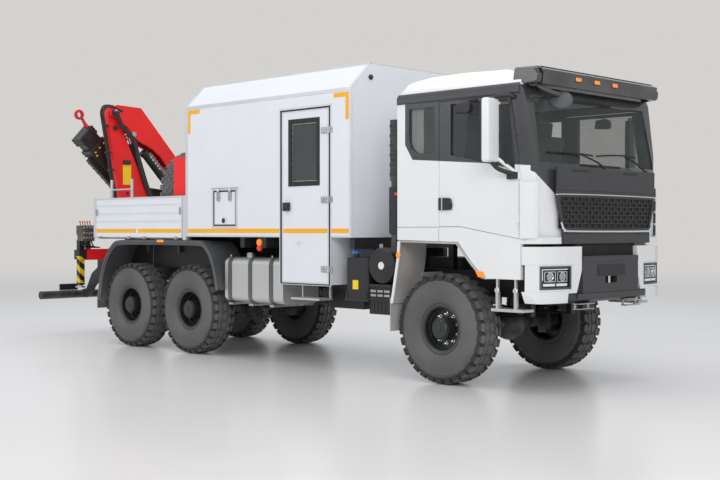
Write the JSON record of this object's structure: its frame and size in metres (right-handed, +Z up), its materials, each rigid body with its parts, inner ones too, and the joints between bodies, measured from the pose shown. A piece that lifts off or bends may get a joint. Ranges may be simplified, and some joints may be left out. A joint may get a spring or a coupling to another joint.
{
  "type": "workshop truck with loader crane",
  "caption": "Three-axle off-road truck with crew cab, insulated workshop box, dropside platform and folded knuckle-boom loader crane.",
  "frame": {"origin": "on the ground below the middle of the truck's bounding box", "axes": "+X forward, +Y to the vehicle's left, +Z up"},
  "size_m": [10.06, 3.08, 3.7509],
  "materials": {
    "white_paint": "gloss",
    "cab_white": "gloss",
    "frame_black": "satin",
    "dark_grey": "satin",
    "fender_grey": "satin",
    "black_plastic": "matte",
    "red_paint": "gloss",
    "black_paint": "satin",
    "aluminium": "brushed",
    "glass_dark": "clear",
    "tyre": "matte",
    "steel": "satin",
    "lamp": "clear",
    "seat_grey": "matte",
    "warning_stripe": "satin"
  },
  "bodies": {
    "chassis": {"frame": "frame_black", "axles": "frame_black", "springs": "frame_black", "driveline": "black_paint", "cab_shell": "cab_white", "cab_glass": "glass_dark", "cab_interior": "seat_grey", "cab_trim": "black_plastic", "cab_guards": "fender_grey", "front_mask": "dark_grey", "grille": "black_plastic", "bumper_corners": "cab_white", "bumper_centre": "dark_grey", "headlamps": "lamp", "box_shell": "white_paint", "box_trims": "aluminium", "porch": "fender_grey", "platform": "white_paint", "rear_fenders": "fender_grey", "fuel_tank": "aluminium", "tank_straps": "black_plastic", "side_gear": "black_plastic", "spare_wheel": "tyre", "oil_tank": "red_paint", "steps": "aluminium", "crane_base": "frame_black", "valve_block": "steel"},
    "cab_door_right": {"cab_door_right": "cab_white", "cab_door_glass_right": "glass_dark"},
    "dropside_right": {"dropside_right": "white_paint"},
    "knuckle_right": {"knuckle_right": "frame_black"},
    "stabiliser_beam_right": {"stabiliser_beam_right": "warning_stripe"},
    "stabiliser_leg_right": {"stabiliser_leg_right": "steel"},
    "wheel_front_right": {"tyre_front_right": "tyre", "rim_front_right": "frame_black"},
    "wheel_middle_right": {"tyre_middle_right": "tyre", "rim_middle_right": "frame_black"},
    "wheel_rear_right": {"tyre_rear_right": "tyre", "rim_rear_right": "frame_black"},
    "cab_door_left": {"cab_door_left": "cab_white", "cab_door_glass_left": "glass_dark"},
    "dropside_left": {"dropside_left": "white_paint"},
    "knuckle_left": {"knuckle_left": "frame_black"},
    "stabiliser_beam_left": {"stabiliser_beam_left": "warning_stripe"},
    "stabiliser_leg_left": {"stabiliser_leg_left": "steel"},
    "wheel_front_left": {"tyre_front_left": "tyre", "rim_front_left": "frame_black"},
    "wheel_middle_left": {"tyre_middle_left": "tyre", "rim_middle_left": "frame_black"},
    "wheel_rear_left": {"tyre_rear_left": "tyre", "rim_rear_left": "frame_black"},
    "box_door": {"box_door": "white_paint", "box_window": "glass_dark"},
    "box_hatch": {"box_hatch": "white_paint"},
    "mast": {"mast": "red_paint"},
    "inner_boom": {"inner_boom": "red_paint"},
    "outer_boom": {"outer_boom": "black_paint"},
    "extension": {"extension": "black_paint"},
    "lift_barrel": {"lift_barrel": "black_paint"},
    "lift_rod": {"lift_rod": "steel"}
  },
  "joints": [
    {"name": "steer_right", "type": "hinge", "parent": "chassis", "child": "knuckle_right", "pos_m": [3.53, -0.9, 0.62], "axis": [0, 0, 1], "range_deg": [-35, 35]},
    {"name": "spin_front_right", "type": "hinge", "parent": "knuckle_right", "child": "wheel_front_right", "pos_m": [3.53, -0.995, 0.62], "axis": [0, 1, 0], "continuous": true},
    {"name": "spin_middle_right", "type": "hinge", "parent": "chassis", "child": "wheel_middle_right", "pos_m": [-1.102, -0.995, 0.62], "axis": [0, 1, 0], "continuous": true},
    {"name": "spin_rear_right", "type": "hinge", "parent": "chassis", "child": "wheel_rear_right", "pos_m": [-2.547, -0.995, 0.62], "axis": [0, 1, 0], "continuous": true},
    {"name": "cab_door_right_hinge", "type": "hinge", "parent": "chassis", "child": "cab_door_right", "pos_m": [4.706, -1.262, 2.4], "axis": [0, 0, 1], "range_deg": [0, 70]},
    {"name": "dropside_right_hinge", "type": "hinge", "parent": "chassis", "child": "dropside_right", "pos_m": [-2.2, -1.2613, 1.644], "axis": [1, 0, 0], "range_deg": [0, 175]},
    {"name": "stabiliser_right_slide", "type": "slide", "parent": "chassis", "child": "stabiliser_beam_right", "axis": [0, -1, 0], "range_m": [0, 0.6]},
    {"name": "jack_right_slide", "type": "slide", "parent": "stabiliser_beam_right", "child": "stabiliser_leg_right", "axis": [0, 0, -1], "range_m": [0, 0.6]},
    {"name": "steer_left", "type": "hinge", "parent": "chassis", "child": "knuckle_left", "pos_m": [3.53, 0.9, 0.62], "axis": [0, 0, 1], "range_deg": [-35, 35]},
    {"name": "spin_front_left", "type": "hinge", "parent": "knuckle_left", "child": "wheel_front_left", "pos_m": [3.53, 0.995, 0.62], "axis": [0, 1, 0], "continuous": true},
    {"name": "spin_middle_left", "type": "hinge", "parent": "chassis", "child": "wheel_middle_left", "pos_m": [-1.102, 0.995, 0.62], "axis": [0, 1, 0], "continuous": true},
    {"name": "spin_rear_left", "type": "hinge", "parent": "chassis", "child": "wheel_rear_left", "pos_m": [-2.547, 0.995, 0.62], "axis": [0, 1, 0], "continuous": true},
    {"name": "cab_door_left_hinge", "type": "hinge", "parent": "chassis", "child": "cab_door_left", "pos_m": [4.706, 1.262, 2.4], "axis": [0, 0, -1], "range_deg": [0, 70]},
    {"name": "dropside_left_hinge", "type": "hinge", "parent": "chassis", "child": "dropside_left", "pos_m": [-2.2, 1.2613, 1.644], "axis": [-1, 0, 0], "range_deg": [0, 175]},
    {"name": "stabiliser_left_slide", "type": "slide", "parent": "chassis", "child": "stabiliser_beam_left", "axis": [0, 1, 0], "range_m": [0, 0.6]},
    {"name": "jack_left_slide", "type": "slide", "parent": "stabiliser_beam_left", "child": "stabiliser_leg_left", "axis": [0, 0, -1], "range_m": [0, 0.6]},
    {"name": "box_door_hinge", "type": "hinge", "parent": "chassis", "child": "box_door", "pos_m": [1.849, -1.2613, 2.145], "axis": [0, 0, 1], "range_deg": [0, 170]},
    {"name": "box_hatch_hinge", "type": "hinge", "parent": "chassis", "child": "box_hatch", "pos_m": [-0.1785, -1.2693, 2.274], "axis": [-1, 0, 0], "range_deg": [0, 95]},
    {"name": "crane_slew", "type": "hinge", "parent": "chassis", "child": "mast", "pos_m": [-3.97, 0, 1.75], "axis": [0, 0, 1], "range_deg": [-190, 190]},
    {"name": "inner_boom_lift", "type": "hinge", "parent": "mast", "child": "inner_boom", "pos_m": [-3.97, -0.56, 3.61], "axis": [1, 0, 0], "range_deg": [0, 125]},
    {"name": "outer_boom_fold", "type": "hinge", "parent": "inner_boom", "child": "outer_boom", "pos_m": [-3.97, 0.85, 2.35], "axis": [1, 0, 0], "range_deg": [0, 165.01]},
    {"name": "extension_slide", "type": "slide", "parent": "outer_boom", "child": "extension", "axis": [0, -0.7314, 0.682], "range_m": [0, 1.3]},
    {"name": "lift_barrel_pivot", "type": "hinge", "parent": "mast", "child": "lift_barrel", "pos_m": [-3.97, 0.25, 2.1], "axis": [1, 0, 0], "range_deg": [-1.16, 0]},
    {"name": "lift_rod_slide", "type": "slide", "parent": "lift_barrel", "child": "lift_rod", "axis": [0, -0.3707, 0.9287], "range_m": [0, 0.822]}
  ],
  "couplings": [
    {"joint": "steer_left", "follows": "steer_right", "ratio": 1},
    {"joint": "outer_boom_fold", "follows": "inner_boom_lift", "ratio": 1.32},
    {"joint": "lift_barrel_pivot", "follows": "inner_boom_lift", "ratio": -0.009216},
    {"joint": "lift_rod_slide", "follows": "inner_boom_lift", "m_per_rad": 0.37641}
  ]
}
